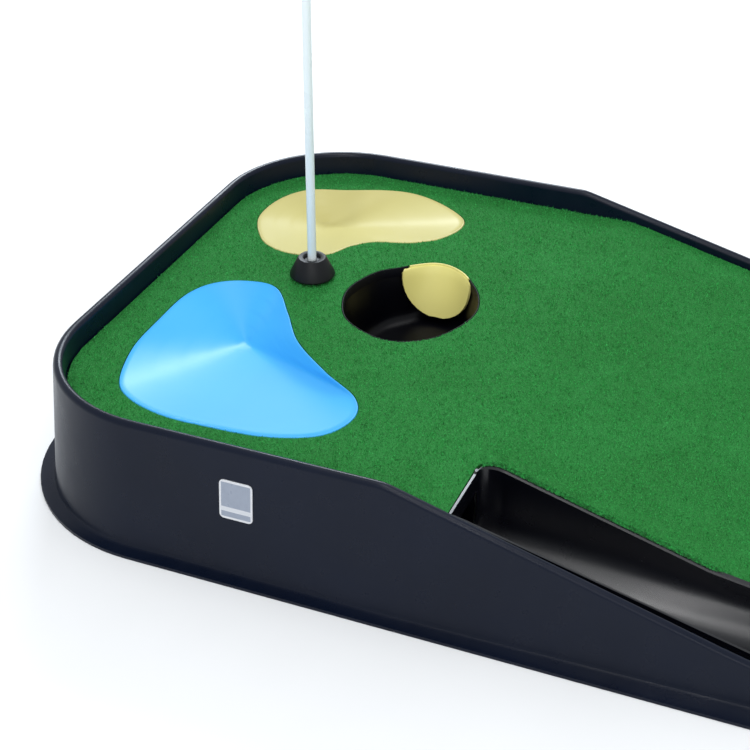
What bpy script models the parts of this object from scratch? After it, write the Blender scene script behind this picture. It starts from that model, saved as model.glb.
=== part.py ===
"""Practice putting mat: target-end tray with hazards, cup, ball return, turf and flag.

Metres, +Z up.  +Y points from the player to the target end, the player stands at -Y,
and the return track runs down the -X side.  The plan origin is the middle of the whole
object and the floor is z = 0.
"""
import math

import bmesh
import bpy
from mathutils import Vector

# ---------------------------------------------------------------- driving dimensions
LENGTH = 2.700
GAP = 0.0003

FLANGE_HALF = 0.2350
FLANGE_REACH = 0.0175
RIM_HALF = FLANGE_HALF - FLANGE_REACH
RIM_END_Y = LENGTH / 2 - FLANGE_REACH
RIM_HEIGHT = 0.0950
RIM_LOW = 0.0140
RIM_WIDTH = 0.0070
RIM_OVER_DECK = 0.0062
RIM_RADIUS = 0.0990
TRAY_T = 0.0022
WALL_FOOT = 0.0066
CORNER_STEPS = 20
STATION_STEP = 0.0010

# Stations measured back from the target end of the rim toward the player.
KINK = 0.2715
RAMP_TOP = 0.3115
TRAY_FRONT = 0.6050
PLAYER_END = RIM_END_Y + LENGTH / 2
NEAR_SLOPE = 0.2840
FAR_SLOPE = 0.2520
KINK_SOFT = 0.0040
RAMP_SOFT = 0.0120

DECK_Z = 0.0720
DECK_LOW = 0.0050
TURF_TOP = 0.0790
TURF_T = TURF_TOP - DECK_Z - GAP
TURF_EDGE_GAP = 0.0013
BACKING_T = 0.0015

INSERT_T = 0.0016
LIP = 0.0080
HOLE_EASE = 0.0009
MOUTH_ROUND = 0.0022

WATER_OUTLINE = [
    (-0.150, 0.052), (-0.110, 0.040), (-0.070, 0.038), (-0.031, 0.039), (-0.007, 0.050),
    (0.006, 0.072), (0.005, 0.097), (-0.026, 0.121), (-0.059, 0.144), (-0.088, 0.178),
    (-0.110, 0.209), (-0.134, 0.218), (-0.160, 0.206), (-0.175, 0.173), (-0.179, 0.130),
    (-0.178, 0.098), (-0.168, 0.069),
]
WATER_DEEP = (-0.038, 0.092, 0.0520)

BUNKER_OUTLINE = [
    (0.073, 0.050), (0.103, 0.034), (0.137, 0.035), (0.163, 0.050), (0.175, 0.080),
    (0.187, 0.110), (0.190, 0.134), (0.182, 0.160), (0.164, 0.186), (0.145, 0.191),
    (0.122, 0.181), (0.107, 0.161), (0.099, 0.137), (0.085, 0.122), (0.066, 0.111),
    (0.057, 0.088), (0.060, 0.067),
]
BUNKER_DEEP = (0.149, 0.074, 0.0570)

CUP_OUTLINE = [
    (0.028, 0.146), (0.055, 0.155), (0.070, 0.170), (0.080, 0.181), (0.086, 0.191),
    (0.087, 0.201), (0.083, 0.212), (0.074, 0.223), (0.052, 0.239), (0.027, 0.246),
    (0.001, 0.241), (-0.022, 0.227), (-0.034, 0.205), (-0.031, 0.183), (-0.017, 0.161),
    (0.005, 0.149),
]
CUP_CENTRE = (0.026, 0.198)
CUP_FLOOR_Z = 0.0240
CUP_FLOOR_SLOPE = 0.12
CUP_FLOOR_SCALE = 0.90
OUTLINE_STEPS = 3

SCOOP_CENTRE = (0.0665, 0.1995)
SCOOP_HALF = 0.0265
SCOOP_DROP = 0.0350
SCOOP_BULGE_TOP = 0.0175
SCOOP_BULGE_LOW = 0.0070
SCOOP_LEAN = 0.0050

BALL_CHANNEL_HALF = 0.0228
BALL_CHANNEL_TALL = 0.0440
CHUTE_START = (-0.014, 0.223)
CHUTE_TURN = (-0.181, 0.252)
CHUTE_END_X = -0.181
CHUTE_FLOOR_START = 0.0225
CHUTE_FLOOR_END = 0.0190
CHUTE_LIP = 0.0080
CHUTE_STEPS = 12

TROUGH_NEAR_X = -0.2056
TROUGH_FAR_START = -0.1480
TROUGH_FAR_FRONT = -0.1600
TROUGH_CORNER = 0.0150
TROUGH_FLOOR_START = 0.0183
TROUGH_FLOOR_FRONT = 0.0050
TROUGH_FOLD = 0.0050
TROUGH_RISE_AT = 0.4600
TROUGH_UNDER_TURF = 0.0008
TROUGH_WALL_FRONT = 0.0220
TROUGH_NEAR_TOP = 0.0135

TRACK_T = 0.0018
TRACK_HALF = 0.0240
TRACK_WALL = 0.0230
TRACK_FLANGE = 0.0015
TRACK_COUNT = 3
COUPLER_T = 0.0016
COUPLER_LENGTH = 0.0360
COUPLER_WALL = 0.0150
END_STOP_T = 0.0060
END_STOP_HEIGHT = 0.0340

FLAG_XY = (0.030, 0.1145)
FLAG_BASE_R = 0.0170
FLAG_BASE_TOP_R = 0.0110
FLAG_BASE_H = 0.0150
STICK_R = 0.00325
STICK_TOP = 0.4000
SLEEVE_LENGTH = 0.0640
SLEEVE_T = 0.0012
PENNANT_LENGTH = 0.0950
PENNANT_T = 0.0008
CAP_R = 0.0052
CAP_H = 0.0085

BADGE_SIZE = (0.0230, 0.0280)
BADGE_BACK = 0.1745
BADGE_Z = 0.0580
BADGE_T = 0.0006

RIVET_R = 0.0017
RIVET_HEAD_R = 0.0036
RIVET_HEAD_T = 0.0014

# Derived heights and stations.
RAMP_FOOT = RAMP_TOP + (DECK_Z - DECK_LOW) / FAR_SLOPE
FAR_LOW = KINK + (RIM_HEIGHT - RIM_LOW) / FAR_SLOPE
NEAR_LOW = RAMP_TOP + (DECK_Z + RIM_OVER_DECK - RIM_LOW) / FAR_SLOPE
NEAR_JOIN = (RIM_HEIGHT - DECK_Z - RIM_OVER_DECK + NEAR_SLOPE * KINK
             - FAR_SLOPE * RAMP_TOP) / (NEAR_SLOPE - FAR_SLOPE)
TURF_LIFT = BACKING_T + GAP
TRACK_X = (TROUGH_NEAR_X + TROUGH_FAR_FRONT) / 2
TRACK_FLOOR = COUPLER_T + GAP + TRACK_T
INSERT_TOP = DECK_Z + GAP + INSERT_T


# ---------------------------------------------------------------- scene and materials
def clear_scene():
    for item in list(bpy.data.objects):
        bpy.data.objects.remove(item, do_unlink=True)


def new_collection(name):
    made = bpy.data.collections.new(name)
    bpy.context.scene.collection.children.link(made)
    return made


clear_scene()
PARTS = new_collection("putting_mat")
CUTTERS = new_collection("cutters")


def material(name, colour, roughness, metallic=0.0):
    made = bpy.data.materials.new(name)
    made.use_nodes = True
    shader = made.node_tree.nodes["Principled BSDF"]
    shader.inputs["Base Color"].default_value = (*colour, 1.0)
    shader.inputs["Roughness"].default_value = roughness
    shader.inputs["Metallic"].default_value = metallic
    return made


TURF_GREEN = (0.026, 0.195, 0.045)
BLACK = (0.014, 0.017, 0.024)
GLOSS_BLACK = (0.006, 0.007, 0.010)
WATER_BLUE = (0.110, 0.500, 0.960)
SAND_YELLOW = (0.680, 0.640, 0.290)
RUBBER = (0.020, 0.016, 0.015)
WHITE = (0.800, 0.860, 0.900)
RED = (0.640, 0.030, 0.030)
GREY = (0.250, 0.260, 0.280)


# ---------------------------------------------------------------- small geometry helpers
def at(x, back, z=0.0):
    """World point from an X and a distance back from the target end of the rim."""
    return Vector((x, RIM_END_Y - back, z))


def soft_fall(back, start, slope, soft):
    """Drop of a surface that is level, bends over 2 * soft and then falls."""
    past = back - start
    if past <= -soft:
        return 0.0
    if past >= soft:
        return slope * past
    return slope * (past + soft) ** 2 / (4 * soft)


def deck_z(back):
    return max(DECK_LOW, DECK_Z - soft_fall(back, RAMP_TOP, FAR_SLOPE, RAMP_SOFT))


def turf_z(back):
    """Height of the turf's upper face: over the deck, then down onto the floor."""
    if back > TRAY_FRONT + 0.010:
        return TURF_LIFT + TURF_T
    return deck_z(back) + GAP + TURF_T


def rim_z(back, slope):
    fallen = RIM_HEIGHT - soft_fall(back, KINK, slope, KINK_SOFT)
    return max(RIM_LOW, fallen, deck_z(back) + RIM_OVER_DECK)


def blend(a, b, share):
    return a + (b - a) * share


def smooth_loop(points, steps=OUTLINE_STEPS):
    """Closed Catmull-Rom curve through hand-placed (x, back) points."""
    loop = []
    count = len(points)
    for i in range(count):
        p0, p1, p2, p3 = (Vector(points[(i + k) % count]) for k in (-1, 0, 1, 2))
        for step in range(steps):
            t = step / steps
            loop.append(0.5 * (2 * p1 + (p2 - p0) * t + (2 * p0 - 5 * p1 + 4 * p2 - p3) * t * t
                               + (3 * p1 - p0 - 3 * p2 + p3) * t ** 3))
    return loop


def grown(loop, distance):
    """Closed loop moved outward by a distance along its vertex normals."""
    count = len(loop)
    area = sum(loop[i].x * loop[(i + 1) % count].y - loop[(i + 1) % count].x * loop[i].y
               for i in range(count))
    side = 1.0 if area > 0 else -1.0
    moved = []
    for i in range(count):
        along = (loop[(i + 1) % count] - loop[i - 1]).normalized()
        moved.append(loop[i] + Vector((along.y, -along.x)) * distance * side)
    return moved


def add_object(name, mesh, home, look=None, smooth=False):
    made = bpy.data.objects.new(name, mesh)
    home.objects.link(made)
    if look:
        mesh.materials.append(look)
    for face in mesh.polygons:
        face.use_smooth = smooth
    return made


def mesh_from(name, points, faces):
    mesh = bpy.data.meshes.new(name)
    mesh.from_pydata([tuple(p) for p in points], [], faces)
    mesh.update()
    return mesh


def face_out(mesh):
    """Turn a closed mesh's faces outward."""
    work = bmesh.new()
    work.from_mesh(mesh)
    bmesh.ops.recalc_face_normals(work, faces=work.faces)
    work.to_mesh(mesh)
    work.free()


def loft(name, loops, home, look=None, closed=True, cap_first=False, cap_last=False, smooth=True):
    """Skin over a list of equally long loops or open rows."""
    size = len(loops[0])
    points = [p for loop in loops for p in loop]
    spans = size if closed else size - 1
    faces = []
    for row in range(len(loops) - 1):
        for i in range(spans):
            j = (i + 1) % size
            faces.append((row * size + i, row * size + j, (row + 1) * size + j, (row + 1) * size + i))
    if cap_first:
        faces.append(tuple(reversed(range(size))))
    if cap_last:
        faces.append(tuple(range((len(loops) - 1) * size, len(loops) * size)))
    return add_object(name, mesh_from(name, points, faces), home, look, smooth)


def prism(name, loop, low, high, home=None, look=None):
    """Upright solid over a closed (x, back) loop."""
    rings = [[at(p.x, p.y, z) for p in loop] for z in (low, high)]
    made = loft(name, rings, home or CUTTERS, look, True, True, True, smooth=False)
    face_out(made.data)
    return made


def thicken(target, thickness):
    """Give an open skin its sheet thickness below and inside the drawn face."""
    skin = target.modifiers.new("sheet", "SOLIDIFY")
    skin.thickness = thickness
    skin.offset = -1.0
    skin.use_even_offset = True
    skin.use_quality_normals = True
    return skin


def cut(target, cutter):
    cutter.hide_render = True
    cutter.display_type = "WIRE"
    step = target.modifiers.new("cut_" + cutter.name, "BOOLEAN")
    step.operation = "DIFFERENCE"
    step.object = cutter


def bevel(target, width, segments=2, angle=40.0):
    step = target.modifiers.new("bevel", "BEVEL")
    step.width = width
    step.segments = segments
    step.limit_method = "ANGLE"
    step.angle_limit = math.radians(angle)


def turned(name, profile, centre, look, steps=32, ring=False):
    """Profile of (radius, z) running down its outer side, revolved about an upright axis."""
    edges = [(i, i + 1) for i in range(len(profile) - 1)]
    if ring:
        edges.append((len(profile) - 1, 0))
    mesh = bpy.data.meshes.new(name)
    mesh.from_pydata([(r, 0.0, z) for r, z in profile], edges, [])
    made = add_object(name, mesh, PARTS, look)
    made.location = centre
    spin = made.modifiers.new("turn", "SCREW")
    spin.steps = steps
    spin.render_steps = steps
    spin.use_merge_vertices = True
    spin.merge_threshold = 0.00001
    spin.use_smooth_shade = True
    return made


# ---------------------------------------------------------------- target-end tray
def rim_stations():
    """Stations round the rim from the near front corner to the far front corner."""
    bends = [FAR_LOW, RAMP_FOOT, NEAR_LOW, NEAR_JOIN]
    bends += [RAMP_TOP + RAMP_SOFT, RAMP_TOP, RAMP_TOP - RAMP_SOFT]
    bends += [KINK + KINK_SOFT, KINK, KINK - KINK_SOFT]
    straight = [TRAY_FRONT]
    for back in sorted(bends, reverse=True):
        if back < straight[-1] - STATION_STEP:
            straight.append(back)
    near = [(-RIM_HALF, back, (-1.0, 0.0)) for back in straight]
    corner = []
    for step in range(CORNER_STEPS + 1):
        turn = math.pi / 2 * step / CORNER_STEPS
        x = -(RIM_HALF - RIM_RADIUS) - RIM_RADIUS * math.cos(turn)
        back = RIM_RADIUS - RIM_RADIUS * math.sin(turn)
        corner.append((x, back, (-math.cos(turn), -math.sin(turn))))
    near += corner
    far = [(-x, back, (-n[0], n[1])) for x, back, n in reversed(near)]
    return near + far


def tray_profile(back, slope):
    """(outward, z) points from the flange edge over the rim and down to the deck."""
    top = rim_z(back, slope)
    bead = RIM_WIDTH / 2
    deck = deck_z(back)
    foot = WALL_FOOT * (top - RIM_LOW) / (RIM_HEIGHT - RIM_LOW) + 0.0004
    points = [
        (FLANGE_REACH, TRAY_T),
        (foot + 0.0030, TRAY_T),
        (foot + 0.0010, TRAY_T + 0.0007),
        (foot, TRAY_T + 0.0024),
    ]
    for step in range(7):
        turn = math.pi * step / 6
        points.append((-bead + bead * math.cos(turn), top - bead + bead * math.sin(turn)))
    points += [
        (-RIM_WIDTH, deck + 0.0012),
        (-RIM_WIDTH - 0.0003, deck + 0.0004),
        (-RIM_WIDTH - 0.0012, deck),
    ]
    return points


def make_tray(look):
    stations = rim_stations()
    rows = []
    for x, back, normal in stations:
        slope = NEAR_SLOPE if x < 0 else FAR_SLOPE
        rows.append([at(x + out * normal[0], back + out * normal[1], z)
                     for out, z in tray_profile(back, slope)])
    size = len(rows[0])
    points = [p for row in rows for p in row]
    faces = []
    for row in range(len(rows) - 1):
        for i in range(size - 1):
            a = row * size + i
            faces.append((a, a + 1, a + size + 1, a + size))
    inner = size - 1
    last = len(rows) - 1
    for row in range(len(rows) // 2 - 1):
        mirror = last - row
        faces.append((row * size + inner, mirror * size + inner,
                      (mirror - 1) * size + inner, (row + 1) * size + inner))
    mesh = mesh_from("base_tray", points, faces)
    tray = add_object("base_tray", mesh, PARTS, look, True)
    thicken(tray, TRAY_T)
    return tray


# ---------------------------------------------------------------- hazard basins
RING_SHARES = (0.0, 0.05, 0.16, 0.34, 0.55, 0.74, 0.90)


def make_basin(name, outline, deep, look):
    """Moulded bowl whose sides run from the outline to one deep point."""
    loop = smooth_loop(outline)
    foot = Vector(deep[:2])
    rings = [
        [at(p.x, p.y, INSERT_TOP) for p in grown(loop, LIP)],
        [at(p.x, p.y, INSERT_TOP) for p in grown(loop, MOUTH_ROUND)],
        [at(p.x, p.y, INSERT_TOP - 0.3 * MOUTH_ROUND) for p in grown(loop, 0.3 * MOUTH_ROUND)],
    ]
    top = INSERT_TOP - MOUTH_ROUND
    for share in RING_SHARES:
        depth = (top - deep[2]) * (1 - (1 - share) ** 1.2)
        rings.append([at(blend(p.x, foot.x, share), blend(p.y, foot.y, share), top - depth)
                      for p in loop])
    bowl = loft(name, rings, PARTS, look, closed=True, cap_last=True)
    orient_up(bowl.data)
    thicken(bowl, INSERT_T)
    return bowl


def orient_up(mesh):
    """Turn an open skin so that its largest level faces look up."""
    score = sum(face.normal.z * face.area for face in mesh.polygons)
    if score < 0:
        mesh.flip_normals()


def lip_pocket(name, loop, reach, top):
    return prism(name, grown(loop, reach), DECK_Z - 0.010, top + GAP)


# ---------------------------------------------------------------- cup, scoop and chute
def cup_floor(x):
    return CUP_FLOOR_Z + CUP_FLOOR_SLOPE * (x - CHUTE_START[0])


def make_cup(look):
    loop = smooth_loop(CUP_OUTLINE)
    centre = Vector(CUP_CENTRE)
    rings = [
        [at(p.x, p.y, INSERT_TOP) for p in grown(loop, LIP)],
        [at(p.x, p.y, INSERT_TOP) for p in grown(loop, MOUTH_ROUND)],
        [at(p.x, p.y, INSERT_TOP - 0.3 * MOUTH_ROUND) for p in grown(loop, 0.3 * MOUTH_ROUND)],
        [at(p.x, p.y, INSERT_TOP - MOUTH_ROUND) for p in loop],
    ]
    fillet = 0.0090
    floor = [centre + (p - centre) * CUP_FLOOR_SCALE for p in loop]
    for turn in (0, 22.5, 45, 67.5, 90):
        inset = fillet * (1 - math.cos(math.radians(turn)))
        rise = fillet * (1 - math.sin(math.radians(turn)))
        rings.append([at(p.x, p.y, cup_floor(p.x) + rise) for p in grown(floor, -inset)])
    rings.append([at(p.x, p.y, cup_floor(p.x))
                  for p in (centre + (q - centre) * 0.55 for q in floor)])
    well = loft("cup_well", rings, PARTS, look, closed=True, cap_last=True)
    orient_up(well.data)
    thicken(well, INSERT_T)
    return well


def make_scoop(look):
    """Spoon-shaped plate hanging on the far side of the cup."""
    levels = [(drop, math.sqrt(1 - drop ** 2.4))
              for drop in (0.0, 0.15, 0.30, 0.45, 0.60, 0.74, 0.85, 0.93, 0.98)]
    across = [-1.0, -0.8, -0.6, -0.4, -0.2, 0.0, 0.2, 0.4, 0.6, 0.8, 1.0]
    top = INSERT_TOP + GAP + INSERT_T
    rows = []

    def face_x(side, share):
        bulge = blend(SCOOP_BULGE_TOP, SCOOP_BULGE_LOW, share)
        return SCOOP_CENTRE[0] - SCOOP_LEAN * share + bulge * (1 - side * side)

    rows.append([at(face_x(u, 0.0) + 0.0065, SCOOP_CENTRE[1] + SCOOP_HALF * u * 1.03, top)
                 for u in across])
    rows.append([at(face_x(u, 0.0) + 0.0010, SCOOP_CENTRE[1] + SCOOP_HALF * u, top)
                 for u in across])
    for drop, width in levels:
        rows.append([at(face_x(u * width, drop), SCOOP_CENTRE[1] + SCOOP_HALF * u * width,
                        top - 0.0012 - SCOOP_DROP * drop) for u in across])
    scoop = loft("cup_scoop", rows, PARTS, look, closed=False)
    orient_up(scoop.data)
    thicken(scoop, INSERT_T)
    return scoop


def chute_end():
    return (CHUTE_END_X, RAMP_TOP - INSERT_T - GAP)


def chute_point(t):
    a, b, c = Vector(CHUTE_START), Vector(CHUTE_TURN), Vector(chute_end())
    return a * (1 - t) ** 2 + b * 2 * t * (1 - t) + c * t * t


def chute_side(t):
    a, b, c = Vector(CHUTE_START), Vector(CHUTE_TURN), Vector(chute_end())
    along = ((b - a) * (1 - t) + (c - b) * t).normalized()
    return Vector((along.y, -along.x))


def channel_arc(half, floor, steps=10):
    """Round-bottomed channel from one side to the other as (side, z) points."""
    points = []
    for step in range(steps + 1):
        turn = math.pi * step / steps
        points.append((half * math.cos(turn), floor + half - half * math.sin(turn)))
    return points


def chute_profile(floor, top):
    arc = channel_arc(BALL_CHANNEL_HALF, floor)
    left = [(BALL_CHANNEL_HALF + CHUTE_LIP, top), (BALL_CHANNEL_HALF + 0.0015, top),
            (BALL_CHANNEL_HALF, top - 0.0015)]
    right = [(-s, z) for s, z in reversed(left)]
    return left + arc + right


def chute_top(back):
    """Upper face of the chute's lips, just under the deck even where the deck bends."""
    return deck_z(back + 0.002) - TRAY_T - GAP - 0.0001


def make_chute(look):
    """Covered channel that carries the ball from the cup to the ramp trough."""
    rows = []
    for step in range(CHUTE_STEPS + 1):
        t = step / CHUTE_STEPS
        middle, side = chute_point(t), chute_side(t)
        top = chute_top(middle.y)
        floor = blend(CHUTE_FLOOR_START, CHUTE_FLOOR_END, t)
        row = []
        for s, z in chute_profile(floor, top):
            back = middle.y + side.y * s
            if z > top - 0.0020:
                z += min(0.0, chute_top(back) - top)
            row.append(at(middle.x + side.x * s, back, z))
        rows.append(row)
    chute = loft("return_chute", rows, PARTS, look, closed=False)
    orient_up(chute.data)
    thicken(chute, INSERT_T)
    around_cup = grown(smooth_loop(CUP_OUTLINE), INSERT_T + GAP)
    cut(chute, prism("cutter_chute_cup", around_cup, -0.01, 0.10))
    return chute


def channel_plug(name, middle, side, reach_in, reach_out, floor_at):
    """Ball-sized tunnel cutter lying along the direction square to `side`."""
    along = Vector((-side.y, side.x))
    rings = []
    for reach in (-reach_in, reach_out):
        base = middle + along * reach
        floor = floor_at(base)
        section = channel_arc(BALL_CHANNEL_HALF, floor)
        section += [(-BALL_CHANNEL_HALF, floor + BALL_CHANNEL_TALL),
                    (BALL_CHANNEL_HALF, floor + BALL_CHANNEL_TALL)]
        rings.append([at(base.x + side.x * s, base.y + side.y * s, z) for s, z in section])
    plug = loft(name, rings, CUTTERS, None, True, True, True, smooth=False)
    face_out(plug.data)
    return plug


# ---------------------------------------------------------------- trough beside the ramp
def trough_far_x(back):
    """Inner face of the trough on the turf side, with its rounded first corner."""
    line = blend(TROUGH_FAR_START, TROUGH_FAR_FRONT, (back - RAMP_TOP) / (TRAY_FRONT - RAMP_TOP))
    past = min(max((back - RAMP_TOP) / TROUGH_CORNER, 0.0), 1.0)
    return line - TROUGH_CORNER * 0.8 * (1 - math.sqrt(1 - (1 - past) ** 2))


def trough_floor(back):
    share = (back - RAMP_TOP) / (TRAY_FRONT - RAMP_TOP)
    return blend(TROUGH_FLOOR_START, TROUGH_FLOOR_FRONT, min(share, 1.0))


def trough_lip_z(back):
    return deck_z(back) + GAP + INSERT_T


def trough_crest(back):
    """Top of the wall on the turf side: just under the turf at first, then above it."""
    share = (back - TROUGH_RISE_AT) / (TRAY_FRONT - TROUGH_RISE_AT)
    low = deck_z(back) + GAP + TURF_T - TROUGH_UNDER_TURF
    start = deck_z(TROUGH_RISE_AT) + GAP + TURF_T - TROUGH_UNDER_TURF
    guide = blend(start, TROUGH_WALL_FRONT, min(max(share, 0.0), 1.0))
    return low if share < 0 else max(low, guide)


def trough_near_top(back):
    """Top of the wall on the rim side, level with the low part of the rim."""
    return max(deck_z(back) + RIM_OVER_DECK - GAP, TROUGH_NEAR_TOP)


def trough_arc(back, spare):
    """Round bottom of the channel from the turf side, `spare` outside its inner face.

    The underside stays below the lip on the turf side so that it can drop into the deck.
    """
    far = trough_far_x(back)
    half = (far - TROUGH_NEAR_X) / 2
    middle = far - half
    floor = trough_floor(back)
    low_side = min(trough_crest(back), max(trough_lip_z(back), TROUGH_NEAR_TOP))
    depth = min(half, low_side - floor - 0.002)
    points = []
    for step in range(13):
        turn = math.pi * step / 12
        z = floor + depth - (depth + spare) * math.sin(turn)
        if spare and step < 6:
            z = min(z, trough_lip_z(back) - INSERT_T - GAP)
        points.append((middle + (half + spare) * math.cos(turn), z))
    return points


def trough_block(back):
    """Outer section of the trough: fold, lip under the turf and rounded underside."""
    far = trough_far_x(back)
    lip = trough_lip_z(back)
    crest = trough_crest(back)
    return [(TROUGH_NEAR_X - INSERT_T, trough_near_top(back)),
            (far, crest - 0.0010), (far + 0.0010, crest),
            (far + TROUGH_FOLD - 0.0010, crest), (far + TROUGH_FOLD, crest - 0.0010),
            (far + TROUGH_FOLD, lip), (far + TROUGH_FOLD + LIP, lip),
            (far + TROUGH_FOLD + LIP, lip - INSERT_T), (far + INSERT_T, lip - INSERT_T),
            *trough_arc(back, INSERT_T)]


def trough_channel(back):
    """Hollow of the trough, carried up well clear of its walls."""
    return [(TROUGH_NEAR_X, 0.110), (trough_far_x(back), 0.110), *trough_arc(back, 0.0)]


def trough_stations():
    stations = [RAMP_TOP + TROUGH_CORNER * share for share in (0.0, 0.05, 0.14, 0.28, 0.45, 0.70, 1.0)]
    stations += [0.345, 0.375, 0.415, TROUGH_RISE_AT - 0.004, TROUGH_RISE_AT, 0.490, 0.520, 0.555]
    stations += [RAMP_FOOT, TRAY_FRONT]
    return stations


def make_trough(look):
    """Open channel beside the ramp, closed at its upper end but for the ball's way in."""
    stations = trough_stations()
    rings = []
    for back in [RAMP_TOP - INSERT_T] + stations:
        rings.append([at(x, back, z) for x, z in trough_block(max(back, RAMP_TOP))])
    trough = loft("ramp_trough", rings, PARTS, look, True, True, True, smooth=False)
    face_out(trough.data)
    rings = []
    for back in stations + [TRAY_FRONT + 0.010]:
        rings.append([at(x, back, z) for x, z in trough_channel(min(back, TRAY_FRONT))])
    hollow = loft("cutter_trough_hollow", rings, CUTTERS, None, True, True, True, smooth=False)
    face_out(hollow.data)
    cut(trough, hollow)
    mouth = channel_plug("cutter_trough_mouth", Vector((CHUTE_END_X, RAMP_TOP)),
                         Vector((1.0, 0.0)), 0.006, 0.006, lambda base: TROUGH_FLOOR_START)
    cut(trough, mouth)
    return trough


def side_slot(name, near_x, far_inset, start, end, low, high):
    """Cutter along the trough: near edge straight, far edge following the trough."""
    loop = [Vector((near_x, end)), Vector((near_x, start))]
    for back in trough_stations():
        loop.append(Vector((trough_far_x(back) + far_inset, max(back + start - RAMP_TOP, start))))
    loop.append(Vector((trough_far_x(TRAY_FRONT) + far_inset, end)))
    return prism(name, loop, low, high)


# ---------------------------------------------------------------- turf and its backing
def make_turf(look):
    half = RIM_HALF - RIM_WIDTH - TURF_EDGE_GAP
    radius = RIM_RADIUS - RIM_WIDTH - TURF_EDGE_GAP
    end = RIM_WIDTH + TURF_EDGE_GAP
    stations = [(half, PLAYER_END), (half, 1.900), (half, 1.200), (half, TRAY_FRONT + 0.030),
                (half, TRAY_FRONT + 0.002), (half, RAMP_FOOT)]
    stations += [(half, back) for back in (RAMP_TOP + RAMP_SOFT, RAMP_TOP,
                                           RAMP_TOP - RAMP_SOFT)]
    for step in range(CORNER_STEPS + 1):
        turn = math.pi / 2 * step / CORNER_STEPS
        stations.append((half - radius + radius * math.cos(turn),
                         end + radius - radius * math.sin(turn)))
    rows = [[at(-x, back, turf_z(back)), at(x, back, turf_z(back))] for x, back in stations]
    turf = loft("turf", rows, PARTS, look, closed=False, smooth=False)
    orient_up(turf.data)
    thicken(turf, TURF_T)
    return turf


def cut_turf(turf):
    for name, outline in (("water", WATER_OUTLINE), ("bunker", BUNKER_OUTLINE),
                          ("cup", CUP_OUTLINE)):
        loop = smooth_loop(outline)
        cut(turf, prism("cutter_turf_" + name, loop, 0.040, 0.120))
        cut(turf, lip_pocket("cutter_pocket_" + name, loop, LIP + 0.0005, INSERT_TOP))
    edge = TROUGH_FOLD + 0.0004
    near = -FLANGE_HALF - 0.010
    slot = side_slot("cutter_turf_trough", near, edge, RAMP_TOP - 0.0024, PLAYER_END + 0.05,
                     -0.02, 0.120)
    cut(turf, slot)
    cut(turf, trough_lip_pocket())
    cut(turf, scoop_lip_pocket())


def trough_lip_pocket():
    """Relief under the turf for the trough's lip, following the slope."""
    rings = []
    for back in [RAMP_TOP - 0.003] + trough_stations()[1:] + [TRAY_FRONT + 0.005]:
        left = trough_far_x(back) + TROUGH_FOLD - 0.004
        right = left + LIP + 0.0045
        top = trough_lip_z(back) + GAP
        low = deck_z(back) - 0.004
        rings.append([at(left, back, low), at(right, back, low), at(right, back, top),
                      at(left, back, top)])
    pocket = loft("cutter_trough_lip", rings, CUTTERS, None, True, True, True, smooth=False)
    face_out(pocket.data)
    return pocket


def scoop_lip_pocket():
    x, back = SCOOP_CENTRE
    loop = [Vector(p) for p in (
        (x - 0.004, back - SCOOP_HALF - 0.002), (x + 0.010, back - SCOOP_HALF - 0.002),
        (x + 0.026, back - SCOOP_HALF * 0.5), (x + 0.026, back + SCOOP_HALF * 0.5),
        (x + 0.010, back + SCOOP_HALF + 0.002), (x - 0.004, back + SCOOP_HALF + 0.002))]
    return prism("cutter_scoop_lip", loop, DECK_Z - 0.01, INSERT_TOP + 2 * GAP + INSERT_T)


def make_backing(look):
    left = TROUGH_FAR_FRONT + TROUGH_FOLD + 0.002
    right = RIM_HALF - RIM_WIDTH - TURF_EDGE_GAP - 0.001
    loop = [Vector(p) for p in ((left, TRAY_FRONT + 0.018), (right, TRAY_FRONT + 0.018),
                                (right, PLAYER_END), (left, PLAYER_END))]
    return prism("runner_backing", loop, 0.0, BACKING_T, PARTS, look)


# ---------------------------------------------------------------- return track
def track_skin(half, floor, wall, flange):
    """Open channel section with a flat bottom as (side, z) points."""
    right = [(half, wall), (half, floor + 0.0090), (half - 0.0024, floor + 0.0040),
             (half - 0.0070, floor + 0.0010), (half - 0.0130, floor)]
    if flange:
        right = [(half + TRACK_T + flange, wall)] + right
    return right + [(-s, z) for s, z in reversed(right)]


def make_channel(name, half, floor, wall, flange, start, end, thickness, look):
    section = track_skin(half, floor, wall, flange)
    rows = [[at(TRACK_X + s, back, z) for s, z in section] for back in (start, end)]
    made = loft(name, rows, PARTS, look, closed=False, smooth=False)
    orient_up(made.data)
    thicken(made, thickness)
    return made


def track_breaks():
    start = TRAY_FRONT + GAP
    end = PLAYER_END - END_STOP_T
    return [blend(start, end, i / TRACK_COUNT) for i in range(TRACK_COUNT + 1)]


def make_track(look, joint_look):
    breaks = track_breaks()
    for i in range(TRACK_COUNT):
        make_channel(f"track_section_{i + 1}", TRACK_HALF, TRACK_FLOOR, TRACK_WALL, TRACK_FLANGE,
                     breaks[i] + GAP, breaks[i + 1] - GAP, TRACK_T, look)
    outer = TRACK_HALF + TRACK_T + GAP
    for i in range(TRACK_COUNT):
        middle = breaks[i]
        if i == 0:
            middle += COUPLER_LENGTH / 2 + 0.004
        make_channel(f"track_coupler_{i + 1}", outer, COUPLER_T, COUPLER_WALL, 0.0,
                     middle - COUPLER_LENGTH / 2, middle + COUPLER_LENGTH / 2, COUPLER_T,
                     joint_look)


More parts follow.
